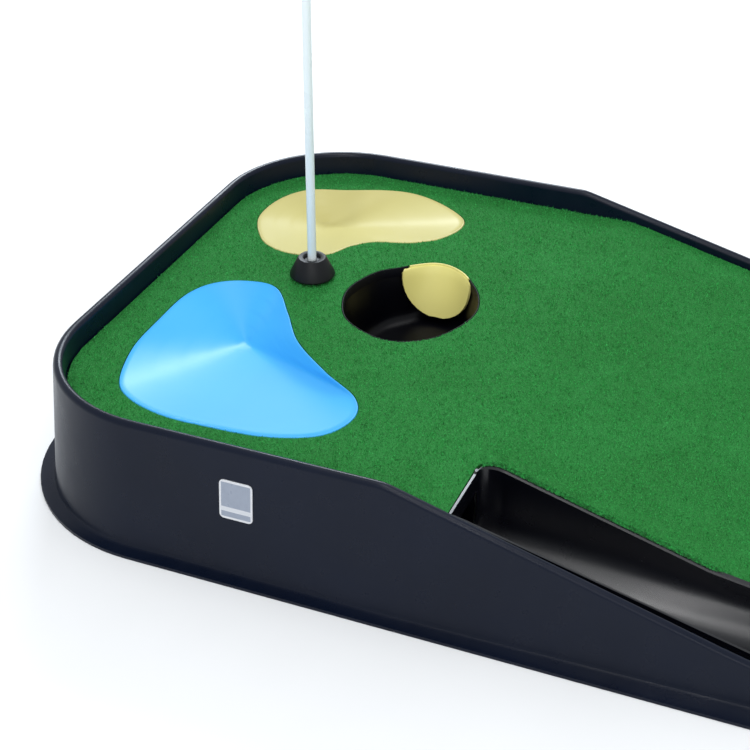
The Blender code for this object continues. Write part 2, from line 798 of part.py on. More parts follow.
def make_end_stop(look):
    """Upright plate with rounded shoulders that closes the player's end of the track."""
    half = TRACK_HALF + TRACK_T + TRACK_FLANGE
    radius = 0.010
    outline = [(-half, 0.0), (half, 0.0)]
    for side in (1, -1):
        for step in range(7):
            turn = math.pi / 2 * (step if side > 0 else 6 - step) / 6
            outline.append((side * (half - radius + radius * math.cos(turn)),
                            END_STOP_HEIGHT - radius + radius * math.sin(turn)))
    rings = [[at(TRACK_X + x, back, z) for x, z in outline]
             for back in (PLAYER_END - END_STOP_T + GAP, PLAYER_END)]
    stop = loft("track_end_stop", rings, PARTS, look, True, True, True, smooth=False)
    face_out(stop.data)
    bevel(stop, 0.0008, 2)
    return stop


# ---------------------------------------------------------------- flag
def make_flag(rubber, white, red):
    seat = TURF_TOP + GAP
    foot = at(FLAG_XY[0], FLAG_XY[1], seat)
    bore = STICK_R + GAP
    turned("flag_base", [
        (0.0, 0.0030), (bore, 0.0030), (bore, FLAG_BASE_H - 0.0022), (0.0058, FLAG_BASE_H - 0.0022),
        (0.0064, FLAG_BASE_H - 0.0004), (0.0070, FLAG_BASE_H),
        (FLAG_BASE_TOP_R - 0.0010, FLAG_BASE_H), (FLAG_BASE_TOP_R, FLAG_BASE_H - 0.0010),
        (FLAG_BASE_R - 0.0002, 0.0022), (FLAG_BASE_R, 0.0012), (FLAG_BASE_R - 0.0008, 0.0),
        (0.0, 0.0),
    ], foot, rubber, 40)
    low = 0.0030 + GAP
    tall = STICK_TOP - seat
    stick_at = at(FLAG_XY[0], FLAG_XY[1], seat)
    turned("flagstick", [
        (0.0, tall), (STICK_R - 0.0004, tall), (STICK_R, tall - 0.0004),
        (STICK_R, low + 0.0004), (STICK_R - 0.0004, low), (0.0, low),
    ], stick_at, white, 24)
    inner = STICK_R + GAP
    outer = inner + SLEEVE_T
    sleeve_top = STICK_TOP - CAP_H + 0.0020
    sleeve_at = at(FLAG_XY[0], FLAG_XY[1], sleeve_top - SLEEVE_LENGTH)
    turned("flag_sleeve", [
        (inner, SLEEVE_LENGTH), (outer, SLEEVE_LENGTH), (outer, 0.0), (inner, 0.0),
    ], sleeve_at, white, 24, ring=True)
    cap_at = at(FLAG_XY[0], FLAG_XY[1], sleeve_top + GAP)
    dome = [(0.0, CAP_H)]
    for turn in (75, 50, 25, 0):
        rise = math.sin(math.radians(turn))
        dome.append((CAP_R * math.cos(math.radians(turn)), CAP_H - CAP_R * (1 - rise)))
    depth = STICK_TOP - sleeve_top
    turned("flag_cap", dome + [(CAP_R, 0.0), (inner, 0.0), (inner, depth), (0.0, depth)],
           cap_at, white, 24)
    make_pennant(sleeve_at, outer + GAP, red)


def make_pennant(sleeve_at, hoist, look):
    """Triangular pennant with a soft double bend, hung on the sleeve."""
    across = 12
    top = SLEEVE_LENGTH - 0.003
    low = 0.003
    rows = []
    for i in range(across + 1):
        share = i / across
        reach = hoist + (PENNANT_LENGTH - hoist) * share
        sway = 0.0045 * math.sin(share * math.pi * 1.6) * share
        middle = (top + low) / 2
        half = (top - low) / 2 * (1 - 0.94 * share)
        rows.append([(reach, sway, middle - half), (reach, sway, middle + half)])
    size = 2
    points = [p for row in rows for p in row]
    faces = [(i * size, (i + 1) * size, (i + 1) * size + 1, i * size + 1) for i in range(across)]
    pennant = add_object("flag_pennant", mesh_from("flag_pennant", points, faces), PARTS, look,
                         True)
    pennant.location = sleeve_at
    thicken(pennant, PENNANT_T).offset = 0.0


# ---------------------------------------------------------------- badge and rivets
def make_badge(look):
    """Blank rounded label lying on the near wall."""
    width, height = BADGE_SIZE
    radius = 0.0030
    rise = RIM_HEIGHT - RIM_WIDTH / 2 - TRAY_T - 0.0024
    lean = WALL_FOOT / rise
    outline = []
    for cx, cz, first in ((1, 1, 0), (-1, 1, 90), (-1, -1, 180), (1, -1, 270)):
        for step in range(5):
            turn = math.radians(first + 90 * step / 4)
            outline.append((cx * (width / 2 - radius) + radius * math.cos(turn),
                            cz * (height / 2 - radius) + radius * math.sin(turn)))
    rings = []
    for lift in (GAP, GAP + BADGE_T):
        ring = []
        for y, z in outline:
            height_here = BADGE_Z + z
            wall = RIM_HALF + lean * (RIM_HEIGHT - RIM_WIDTH / 2 - height_here)
            ring.append(at(-wall - lift, BADGE_BACK + y, height_here))
        rings.append(ring)
    badge = loft("badge", rings, PARTS, look, True, True, True, smooth=False)
    face_out(badge.data)
    return badge


def make_rivets(look, holed):
    """Push rivets that hold the chute's lips up against the deck."""
    spots = [(t, side) for t in (0.50, 0.70) for side in (1, -1)]
    for i, (t, side) in enumerate(spots):
        middle = chute_point(t)
        place = middle + chute_side(t) * side * (BALL_CHANNEL_HALF + 0.0056)
        low = chute_top(max(middle.y, place.y) + 0.004) - INSERT_T - GAP
        centre = at(place.x, place.y, low)
        tall = DECK_Z - 0.0003 - low
        turned(f"chute_rivet_{i + 1}", [
            (0.0, tall), (RIVET_R, tall), (RIVET_R, 0.0), (RIVET_HEAD_R, 0.0),
            (RIVET_HEAD_R - 0.0006, -RIVET_HEAD_T), (0.0, -RIVET_HEAD_T),
        ], centre, look, 16)
        ring = []
        for step in range(16):
            turn = 2 * math.pi * step / 16
            ring.append(place + Vector((math.cos(turn), math.sin(turn))) * (RIVET_R + GAP))
        hole = prism(f"cutter_rivet_{i + 1}", ring, 0.050, 0.080)
        for target in holed:
            cut(target, hole)


# ---------------------------------------------------------------- assembly
def cut_tray(tray):
    opening = INSERT_T + HOLE_EASE
    for name, outline in (("water", WATER_OUTLINE), ("bunker", BUNKER_OUTLINE),
                          ("cup", CUP_OUTLINE)):
        loop = grown(smooth_loop(outline), opening)
        cut(tray, prism("cutter_tray_" + name, loop, 0.040, 0.085))
    start = RAMP_TOP - INSERT_T - HOLE_EASE
    slot = side_slot("cutter_tray_trough", TROUGH_NEAR_X - INSERT_T - GAP,
                     INSERT_T + HOLE_EASE, start, TRAY_FRONT + 0.05, -0.02, 0.080)
    cut(tray, slot)


def build():
    black = material("tray_black", BLACK, 0.42)
    gloss = material("gloss_black", GLOSS_BLACK, 0.18)
    blue = material("water_blue", WATER_BLUE, 0.22)
    sand = material("sand_yellow", SAND_YELLOW, 0.25)
    scoop_yellow = material("scoop_yellow", (0.700, 0.600, 0.200), 0.25)
    green = material("turf_green", TURF_GREEN, 0.95)
    foam = material("backing_foam", (0.020, 0.020, 0.022), 0.90)
    rubber = material("flag_base_rubber", RUBBER, 0.60)
    white = material("stick_white", WHITE, 0.30)
    red = material("pennant_red", RED, 0.70)
    grey = material("rivet_grey", GREY, 0.35, 0.8)
    label = material("badge_label", (0.650, 0.660, 0.680), 0.35)
    joint_black = material("coupler_black", (0.010, 0.011, 0.013), 0.50)

    tray = make_tray(black)
    make_basin("water_basin", WATER_OUTLINE, WATER_DEEP, blue)
    make_basin("bunker_basin", BUNKER_OUTLINE, BUNKER_DEEP, sand)
    well = make_cup(gloss)
    cut(well, channel_plug("cutter_cup_exit", chute_point(0.045), chute_side(0.0),
                           0.030, 0.009, lambda base: cup_floor(base.x) + GAP))
    make_scoop(scoop_yellow)
    chute = make_chute(gloss)
    make_trough(gloss)
    turf = make_turf(green)
    cut_tray(tray)
    cut_turf(turf)
    make_backing(foam)
    make_track(gloss, joint_black)
    make_end_stop(joint_black)
    make_flag(rubber, white, red)
    make_badge(label)
    make_rivets(grey, [tray, chute])


build()
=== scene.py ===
"""Looks of the practice putting mat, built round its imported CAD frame.

Metres, +Z up, the same frame as the CAD: +Y toward the target end, the floor at z = 0.
"""
import math

import bpy
import numpy as np
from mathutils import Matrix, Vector, geometry


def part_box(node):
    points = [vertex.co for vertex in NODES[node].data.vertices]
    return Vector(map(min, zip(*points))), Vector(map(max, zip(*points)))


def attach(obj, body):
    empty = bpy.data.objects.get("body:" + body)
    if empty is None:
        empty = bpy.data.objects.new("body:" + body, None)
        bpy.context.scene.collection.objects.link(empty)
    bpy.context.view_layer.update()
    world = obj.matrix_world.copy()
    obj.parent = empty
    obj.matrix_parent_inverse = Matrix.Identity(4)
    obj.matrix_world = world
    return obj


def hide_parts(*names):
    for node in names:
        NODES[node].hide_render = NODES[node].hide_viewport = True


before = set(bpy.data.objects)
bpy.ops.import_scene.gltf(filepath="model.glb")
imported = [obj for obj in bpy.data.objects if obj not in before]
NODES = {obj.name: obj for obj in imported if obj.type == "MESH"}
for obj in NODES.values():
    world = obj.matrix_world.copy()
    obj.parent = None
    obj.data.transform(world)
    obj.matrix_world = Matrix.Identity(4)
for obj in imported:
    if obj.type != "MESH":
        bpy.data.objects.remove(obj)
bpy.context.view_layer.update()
RNG = np.random.RandomState(41)

# Sizes repeated from the CAD, so that new pieces lie where its solids do. A station "back" is the
# distance from the rim's target end toward the player.
TRAY_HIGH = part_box("base_tray")[1]
TURF_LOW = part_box("turf")[0]
FLANGE_WIDTH = 0.0175
RIM_END = TRAY_HIGH.y - FLANGE_WIDTH
RIM_HALF = TRAY_HIGH.x - FLANGE_WIDTH
PLAYER_END = RIM_END - TURF_LOW.y
RAMP_TOP = 0.3115
RAMP_SOFT = 0.0120
FAR_SLOPE = 0.2520
DECK_Z = 0.0720
DECK_LOW = 0.0050
GAP = 0.0003
TURF_T = 0.0067
TRAY_FRONT = 0.6050
TURF_EDGE = 0.0083
RIM_RADIUS = 0.0990
INSERT_TOP = 0.0739
INSERT_T = 0.0016
LIP = 0.0080
FLAG_Y = 1.2180

# Sizes that only the visual model has.
PILE = 0.0016
RUNNER_LOW = 0.0018
LOOP_STEPS = 12
MOUTH_TOP = 0.0779
MOUTH_ROUND = 0.0005
MOUTH_INSET = 0.0013
BOWL_RINGS = 30
BOWL_SOFT = 26
BOWL_CURVE = 1.15
LIP_EDGE = 0.0004
COLLAR_LOW = 0.0700
COLLAR_TOP = MOUTH_TOP - 0.0005
PENNANT_TAPER = 0.94

# The turf: where its fine front part ends, its sheet's inner points and its cut edges.
PILE_SPLIT = 0.62
SHEET_STEP = 0.006
RUNNER_START = 0.625
RUNNER_STEP = 0.015
JITTER = 0.0012
RIPPLE = 0.00025
EDGE_MARGIN = 0.0025
CORNER_STEPS = 24
NOTCH_CLEAR = 0.0004
NOTCH_LEAD = 0.0024
NOTCH_STRAIGHT = 0.025
EDGE_LEAN = 0.0013

WATER_OUTLINE = [
    (-0.150, 0.052), (-0.110, 0.040), (-0.070, 0.038), (-0.031, 0.039), (-0.007, 0.050),
    (0.006, 0.072), (0.005, 0.097), (-0.026, 0.121), (-0.059, 0.144), (-0.088, 0.178),
    (-0.110, 0.209), (-0.134, 0.218), (-0.160, 0.206), (-0.175, 0.173), (-0.179, 0.130),
    (-0.178, 0.098), (-0.168, 0.069),
]
WATER_DEEP = (-0.038, 0.092, 0.0520)
BUNKER_OUTLINE = [
    (0.073, 0.050), (0.103, 0.034), (0.137, 0.035), (0.163, 0.050), (0.175, 0.080),
    (0.187, 0.110), (0.190, 0.134), (0.182, 0.160), (0.164, 0.186), (0.145, 0.191),
    (0.122, 0.181), (0.107, 0.161), (0.099, 0.137), (0.085, 0.122), (0.066, 0.111),
    (0.057, 0.088), (0.060, 0.067),
]
BUNKER_DEEP = (0.149, 0.074, 0.0570)
CUP_OUTLINE = [
    (0.028, 0.146), (0.055, 0.155), (0.070, 0.170), (0.080, 0.181), (0.086, 0.191),
    (0.087, 0.201), (0.083, 0.212), (0.074, 0.223), (0.052, 0.239), (0.027, 0.246),
    (0.001, 0.241), (-0.022, 0.227), (-0.034, 0.205), (-0.031, 0.183), (-0.017, 0.161),
    (0.005, 0.149),
]
TROUGH_FAR_START = -0.1480
TROUGH_FAR_FRONT = -0.1600
TROUGH_CORNER = 0.0150
TROUGH_CORNER_DRAW = 0.8
TROUGH_FOLD = 0.0050
TROUGH_RISE_AT = 0.4600
SCOOP_CENTRE = (0.0665, 0.1995)
SCOOP_HALF = 0.0265


# ---------------------------------------------------------------- geometry helpers
def at(x, back, z=0.0):
    """World point of a place on the mat."""
    return Vector((x, RIM_END - back, z))


def deck_z(back):
    """Top of the tray's deck, level and then down the ramp."""
    past = back - RAMP_TOP
    if past <= -RAMP_SOFT:
        fall = 0.0
    elif past >= RAMP_SOFT:
        fall = FAR_SLOPE * past
    else:
        fall = FAR_SLOPE * (past + RAMP_SOFT) ** 2 / (4 * RAMP_SOFT)
    return max(DECK_LOW, DECK_Z - fall)


def turf_z(back):
    """Tips of the pile, which run on from the ramp's foot down to the floor's foam."""
    high = deck_z(back) + GAP + TURF_T
    share = min(max((back - TRAY_FRONT - 0.002) / 0.028, 0.0), 1.0)
    return high + (RUNNER_LOW + TURF_T - high) * share


def smooth_loop(points, steps):
    """Closed Catmull-Rom curve through (x, back) points."""
    loop = []
    count = len(points)
    for i in range(count):
        p0, p1, p2, p3 = (Vector(points[(i + k) % count]) for k in (-1, 0, 1, 2))
        for step in range(steps):
            t = step / steps
            loop.append(0.5 * (2 * p1 + (p2 - p0) * t + (2 * p0 - 5 * p1 + 4 * p2 - p3) * t * t
                               + (3 * p1 - p0 - 3 * p2 + p3) * t ** 3))
    return loop


def signed_area(loop):
    """Area inside a closed loop, negative when the loop runs clockwise."""
    count = len(loop)
    return sum(loop[i].x * loop[(i + 1) % count].y - loop[(i + 1) % count].x * loop[i].y
               for i in range(count)) / 2


def grown(loop, distance):
    """Loop moved outwards by a distance, or inwards when it is negative."""
    count = len(loop)
    side = 1.0 if signed_area(loop) > 0 else -1.0
    moved = []
    for i in range(count):
        along = (loop[(i + 1) % count] - loop[i - 1]).normalized()
        moved.append(loop[i] + Vector((along.y, -along.x)) * distance * side)
    return moved


def linked(name, data):
    """New object in the scene."""
    made = bpy.data.objects.new(name, data)
    bpy.context.scene.collection.objects.link(made)
    return made


def add_mesh(name, points, faces, look, smooth=True):
    mesh = bpy.data.meshes.new(name)
    mesh.from_pydata([tuple(p) for p in points], [], faces)
    mesh.update()
    made = linked(name, mesh)
    mesh.materials.append(look)
    for face in mesh.polygons:
        face.use_smooth = smooth
    return made


def grid_faces(rows, size, closed):
    """Four-sided faces between rows of `size` points each."""
    spans = size if closed else size - 1
    faces = []
    for row in range(rows - 1):
        for i in range(spans):
            j = (i + 1) % size
            faces.append((row * size + i, row * size + j,
                          (row + 1) * size + j, (row + 1) * size + i))
    return faces


def face_outward(made):
    """Turn a closed mesh's faces outwards, by the sign of its volume."""
    volume = 0.0
    for face in made.data.polygons:
        volume += face.center.dot(face.normal) * face.area
    if volume < 0:
        made.data.flip_normals()


def thicken(made, name, thickness, offset):
    skin = made.modifiers.new(name, "SOLIDIFY")
    skin.thickness = thickness
    skin.offset = offset


def split_edges(made, angle):
    crease = made.modifiers.new("crease", "EDGE_SPLIT")
    crease.split_angle = math.radians(angle)
    return crease


def inside(points, loop):
    """Which of the (n, 2) points lie inside a closed loop."""
    ring = np.array([(p.x, p.y) for p in loop])
    after = np.roll(ring, -1, axis=0)
    found = np.zeros(len(points), bool)
    for (x0, y0), (x1, y1) in zip(ring, after):
        crosses = (points[:, 1] < y0) != (points[:, 1] < y1)
        if y1 != y0:
            found ^= crosses & (points[:, 0] < (x1 - x0) * (points[:, 1] - y0) / (y1 - y0) + x0)
    return found


# ---------------------------------------------------------------- material helpers
def new_material(name):
    made = bpy.data.materials.new(name)
    made.use_nodes = True
    tree = made.node_tree
    return made, tree, tree.nodes["Principled BSDF"]


def node(tree, kind, **values):
    """New shader node, its inputs or its own settings set by name."""
    made = tree.nodes.new(kind)
    for key, value in values.items():
        if key in made.inputs:
            made.inputs[key].default_value = value
        else:
            setattr(made, key, value)
    return made


def noise(tree, scale, detail=3.0, rough=0.5):
    """Noise by place on the piece, so that it stays with the piece."""
    where = node(tree, "ShaderNodeTexCoord")
    made = node(tree, "ShaderNodeTexNoise", Scale=scale, Detail=detail, Roughness=rough)
    tree.links.new(where.outputs["Object"], made.inputs["Vector"])
    return made.outputs["Fac"]


def ramp(tree, source, stops):
    """Colour ramp of (place, colour) stops."""
    made = node(tree, "ShaderNodeValToRGB")
    line = made.color_ramp
    while len(line.elements) < len(stops):
        line.elements.new(0.5)
    for element, (place, colour) in zip(line.elements, stops):
        element.position = place
        element.color = (*colour, 1.0)
    tree.links.new(source, made.inputs["Fac"])
    return made.outputs["Color"]


def spread_value(tree, source, low, high):
    """Noise, which mostly lies between 0.3 and 0.7, stretched to a range."""
    made = node(tree, "ShaderNodeMapRange")
    for key, value in (("From Min", 0.3), ("From Max", 0.7), ("To Min", low), ("To Max", high)):
        made.inputs[key].default_value = value
    tree.links.new(source, made.inputs["Value"])
    return made.outputs["Result"]


def bump(tree, shader, *layers):
    """Chain of bump layers, each (height source, strength, distance)."""
    last = None
    for height, strength, distance in layers:
        made = node(tree, "ShaderNodeBump", Strength=strength, Distance=distance)
        tree.links.new(height, made.inputs["Height"])
        if last is not None:
            tree.links.new(last, made.inputs["Normal"])
        last = made.outputs["Normal"]
    tree.links.new(last, shader.inputs["Normal"])


def multiplied(tree, first, second):
    mix = node(tree, "ShaderNodeMix", data_type="RGBA", blend_type="MULTIPLY")
    mix.inputs["Factor"].default_value = 1.0
    tree.links.new(first, mix.inputs["A"])
    tree.links.new(second, mix.inputs["B"])
    return mix.outputs["Result"]


def scaled(colour, share):
    return tuple(min(1.0, c * share) for c in colour)


def plastic(name, colour, rough, spread, level, grain, wave, rough_spread):
    """Moulded plastic: cloudy tint, fine mould grain, slow waves and uneven gloss.

    `grain` and `wave` are each a noise scale and a bump strength.
    """
    made, tree, shader = new_material(name)
    tint = noise(tree, 9.0, 4.0)
    tree.links.new(ramp(tree, tint, [(0.30, scaled(colour, 1 - spread)),
                                     (0.70, scaled(colour, 1 + spread))]),
                   shader.inputs["Base Color"])
    tree.links.new(spread_value(tree, noise(tree, 60.0, 5.0), rough - rough_spread,
                                rough + rough_spread), shader.inputs["Roughness"])
    shader.inputs["Specular IOR Level"].default_value = level
    bump(tree, shader, (noise(tree, grain[0], 2.0), grain[1], 0.0002),
         (noise(tree, wave[0], 2.0), wave[1], 0.0030))
    return made


def repaint(name, look, angle=38.0):
    """Give a CAD node its finish and smooth its shading; its own mesh points stay."""
    target = NODES[name]
    mesh = target.data
    for key in ("custom_normal", "sharp_face", "sharp_edge"):
        if key in mesh.attributes:
            mesh.attributes.remove(mesh.attributes[key])
    for face in mesh.polygons:
        face.use_smooth = True
    for slot in target.material_slots:
        slot.material = look
    join = target.modifiers.new("join", "WELD")
    join.merge_threshold = 0.00002
    split_edges(target, angle).use_edge_sharp = False


# ---------------------------------------------------------------- turf
def turf_look(name, dark, mid, light, sheen):
    """Matt woven or tufted face, speckled and slightly cloudy."""
    made, tree, shader = new_material(name)
    speckle = noise(tree, 900.0, 3.0, 0.7)
    cloud = noise(tree, 22.0, 4.0)
    fine = ramp(tree, speckle, [(0.30, dark), (0.50, mid), (0.72, light)])
    wide = ramp(tree, cloud, [(0.35, (0.86, 0.88, 0.82)), (0.65, (1.0, 1.0, 1.0))])
    tree.links.new(multiplied(tree, fine, wide), shader.inputs["Base Color"])
    shader.inputs["Roughness"].default_value = 0.85
    shader.inputs["Specular IOR Level"].default_value = 0.18
    shader.inputs["Sheen Weight"].default_value = sheen
    shader.inputs["Sheen Roughness"].default_value = 0.5
    bump(tree, shader, (speckle, 0.9, 0.0008))
    return made


def blade_look(name, dark, mid, light):
    """Fibres whose colour changes from one to the next by place."""
    made, tree, shader = new_material(name)
    each = noise(tree, 620.0, 2.0, 0.8)
    tint = ramp(tree, each, [(0.34, dark), (0.50, mid), (0.66, light)])
    tuft = ramp(tree, noise(tree, 260.0, 2.0, 0.6), [(0.36, (0.62, 0.66, 0.60)),
                                                     (0.62, (1.0, 1.0, 1.0))])
    tree.links.new(multiplied(tree, tint, tuft), shader.inputs["Base Color"])
    shader.inputs["Roughness"].default_value = 0.62
    shader.inputs["Specular IOR Level"].default_value = 0.30
    shader.inputs["Sheen Weight"].default_value = 0.15
    return made


def trough_far_x(back):
    """Crest of the trough beside the turf, with its rounded corner at the ramp's top."""
    line = TROUGH_FAR_START + (TROUGH_FAR_FRONT - TROUGH_FAR_START) * (
        (back - RAMP_TOP) / (TRAY_FRONT - RAMP_TOP))
    past = min(max((back - RAMP_TOP) / TROUGH_CORNER, 0.0), 1.0)
    return line - TROUGH_CORNER * TROUGH_CORNER_DRAW * (1 - math.sqrt(1 - (1 - past) ** 2))


def turf_outline():
    """Outer edge of the turf as a closed (x, back) loop, near side notched for the trough."""
    half = RIM_HALF - TURF_EDGE
    radius = RIM_RADIUS - TURF_EDGE
    corner = []
    for step in range(CORNER_STEPS + 1):
        turn = math.pi / 2 * step / CORNER_STEPS
        corner.append((half - radius + radius * math.cos(turn),
                       TURF_EDGE + radius - radius * math.sin(turn)))
    right = [(half, back) for back in np.linspace(PLAYER_END, RAMP_TOP, 150)]
    left = [(-x, back) for x, back in reversed(corner)]
    edge = TROUGH_FOLD + NOTCH_CLEAR
    start = RAMP_TOP - NOTCH_LEAD
    notch = [(-half, start)]
    for share in (0.0, 0.04, 0.1, 0.18, 0.28, 0.4, 0.55, 0.75, 1.0):
        back = RAMP_TOP + TROUGH_CORNER * share
        notch.append((trough_far_x(back) + edge, max(back - NOTCH_LEAD, start)))
    for back in np.linspace(RAMP_TOP + NOTCH_STRAIGHT, TRAY_FRONT, 50):
        notch.append((trough_far_x(back) + edge, back))
    for back in np.linspace(TRAY_FRONT, PLAYER_END, 130)[1:]:
        notch.append((trough_far_x(TRAY_FRONT) + edge, back))
    return [Vector(p) for p in right + corner + left + notch]


def turf_height(points):
    return np.array([turf_z(back) for back in points[:, 1]])


HOLES = [smooth_loop(outline, 8) for outline in (WATER_OUTLINE, BUNKER_OUTLINE, CUP_OUTLINE)]


def turf_grid(outer):
    """Inner points of the turf's sheet, closer together on the tray than on the runner."""
    xs = np.arange(-RIM_HALF, RIM_HALF, SHEET_STEP)
    fine = [(x, back) for back in np.arange(2 * SHEET_STEP, PILE_SPLIT, SHEET_STEP) for x in xs]
    coarse = [(x, back) for back in np.arange(RUNNER_START, PLAYER_END, RUNNER_STEP)
              for x in xs[::2]]
    grid = np.array(fine + coarse)
    grid = grid + RNG.uniform(-JITTER, JITTER, grid.shape)
    keep = inside(grid, grown(outer, -EDGE_MARGIN))
    for loop in HOLES:
        keep &= ~inside(grid, grown(loop, EDGE_MARGIN))
    return grid[keep]


def border_edges(faces):
    """Edges that only one face uses, in the order in which the faces come."""
    single = {}
    for face in faces:
        for a, b in zip(face, (*face[1:], face[0])):
            if (b, a) in single:
                del single[(b, a)]
            else:
                single[(a, b)] = True
    return list(single)


def make_turf_sheet(look):
    """Closed sheet under the pile, cut out round the hazards, the cup and the trough."""
    outer = turf_outline()
    coords, edges = [], []
    for loop in [outer] + HOLES:
        start = len(coords)
        coords += [Vector((p.x, p.y)) for p in loop]
        edges += [(start + i, start + (i + 1) % len(loop)) for i in range(len(loop))]
    coords += [Vector(p) for p in turf_grid(outer)]
    flat, _, faces, _, _, _ = geometry.delaunay_2d_cdt(coords, edges, [], 1, 1e-7)
    points = np.array([(p.x, p.y) for p in flat])
    middles = np.array([points[list(f)].mean(axis=0) for f in faces])
    wanted = inside(middles, outer)
    for loop in HOLES:
        wanted &= ~inside(middles, loop)
    faces = [f for f, stays in zip(faces, wanted) if stays]
    top = turf_height(points) - PILE
    count = len(points)
    ripple = RNG.uniform(-RIPPLE, RIPPLE, count)
    upper = [at(x, back, z + r) for (x, back), z, r in zip(points, top, ripple)]
    lower = [at(x, back, z - TURF_T + PILE) for (x, back), z in zip(points, top)]
    skin = [tuple(reversed(f)) for f in faces] + [tuple(i + count for i in f) for f in faces]
    skin += [(a, b, b + count, a + count) for a, b in border_edges(faces)]
    return add_mesh("turf_sheet", upper + lower, skin, look, smooth=False)


def scatter(count, low_back, high_back):
    """Random (x, back) spots on the turf between two stations."""
    spots = np.stack([RNG.uniform(-RIM_HALF, RIM_HALF, count),
                      RNG.uniform(low_back, high_back, count)], axis=1)
    keep = inside(spots, grown(turf_outline(), -0.0004))
    for loop in HOLES:
        keep &= ~inside(spots, grown(loop, 0.0003))
    return spots[keep]


def fold_spots(count):
    """Spots in the strip where the edge fibres spread over the trough's fold."""
    backs = RNG.uniform(RAMP_TOP + 0.0012, TROUGH_RISE_AT + 0.012, count)
    edges = np.array([trough_far_x(back) for back in backs])
    return np.stack([edges + RNG.uniform(0.0022, TROUGH_FOLD + 0.0012, count), backs], axis=1)


def edge_spots(per_mm):
    """Spots along the cut edges, with the direction that leans out over the cut."""
    spots, leans = [], []
    for loop in HOLES:
        ring = grown(loop, 0.0004)
        count = len(ring)
        centre = sum(loop, Vector((0.0, 0.0))) / len(loop)
        for i in range(count):
            a, b = ring[i], ring[(i + 1) % count]
            number = max(1, int((b - a).length * 1000 * per_mm))
            away = Vector((b.y - a.y, a.x - b.x)).normalized()
            middle = (a + b) / 2
            if (middle + away * 0.01 - centre).length > (middle - centre).length:
                away = -away
            for share in RNG.uniform(0, 1, number):
                p = a + (b - a) * share
                spots.append((p.x, p.y))
                leans.append((away.x, away.y))
    return np.array(spots), np.array(leans)


def blades(name, spots, look, length, width, lean, push=None, sink=0.0003, lift=0.0):
    """One thin triangle per fibre, standing on the sheet and leaning at random.

    `push` is each fibre's own direction to lean in, `sink` how deep its foot stands in the sheet
    and `lift` how far its place lies above the sheet.
    """
    count = len(spots)
    foot = np.column_stack([spots[:, 0], RIM_END - spots[:, 1],
                            turf_height(spots) - PILE - sink + lift])
    turn = RNG.uniform(0, 2 * math.pi, count)
    tall = RNG.uniform(0.7, 1.0, count) * length
    tilt = RNG.uniform(0.15, 1.0, count) * lean
    tip = np.column_stack([np.cos(turn) * tilt, np.sin(turn) * tilt, np.zeros(count)])
    if push is not None:
        tip[:, 0] += push[:, 0] * EDGE_LEAN
        tip[:, 1] -= push[:, 1] * EDGE_LEAN
    tip[:, 2] = np.sqrt(np.maximum(tall ** 2 - tip[:, 0] ** 2 - tip[:, 1] ** 2,
                                   (0.35 * tall) ** 2))
    face = RNG.uniform(0, math.pi, count)
    half = np.column_stack([np.cos(face), np.sin(face), np.zeros(count)]) * width / 2
    points = np.empty((count, 3, 3))
    points[:, 0] = foot - half
    points[:, 1] = foot + half
    points[:, 2] = foot + tip
    mesh = bpy.data.meshes.new(name)
    mesh.vertices.add(count * 3)
    mesh.vertices.foreach_set("co", points.reshape(-1))
    mesh.loops.add(count * 3)
    mesh.loops.foreach_set("vertex_index", np.arange(count * 3, dtype=np.int32))
    mesh.polygons.add(count)
    mesh.polygons.foreach_set("loop_start", np.arange(0, count * 3, 3, dtype=np.int32))
    mesh.update(calc_edges=True)
    made = linked(name, mesh)
    mesh.materials.append(look)
    return made


def make_backing(look):
    """Non-slip foam sheet under the runner, with small dimples in its face."""
    low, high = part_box("runner_backing")
    cell, depth = 0.008, 0.0005
    across = int((high.x - low.x) / cell)
    along = int((high.y - low.y) / cell)
    points = []
    for level in (high.z, low.z):
        for i in range(along + 1):
            for j in range(across + 1):
                dimple = depth if (i + j) % 2 and 0 < i < along and 0 < j < across else 0.0
                points.append((low.x + (high.x - low.x) * j / across,
                               low.y + (high.y - low.y) * i / along,
                               level + (dimple if level == low.z else 0.0)))
    size = across + 1
    count = (along + 1) * size
    top = [tuple(face) for face in grid_faces(along + 1, size, False)]
    bottom = [tuple(i + count for i in reversed(face)) for face in top]
    border = list(range(size)) + [i * size + across for i in range(1, along + 1)]
    border += [along * size + j for j in range(across - 1, -1, -1)]
    border += [i * size for i in range(along - 1, 0, -1)]
    sides = [(border[k - 1], border[k], border[k] + count, border[k - 1] + count)
             for k in range(len(border))]
    made = add_mesh("grip_backing", points, top + bottom + sides, look, smooth=False)
    face_outward(made)
    return made


# ---------------------------------------------------------------- hazards
def softened(loop, window):
    """Loop with each point averaged with its neighbours, for the rounder lower rings."""
    ring = np.array([(p.x, p.y) for p in loop])
    total = sum(np.roll(ring, step, axis=0) for step in range(-window, window + 1))
    return [Vector(p) for p in total / (2 * window + 1)]


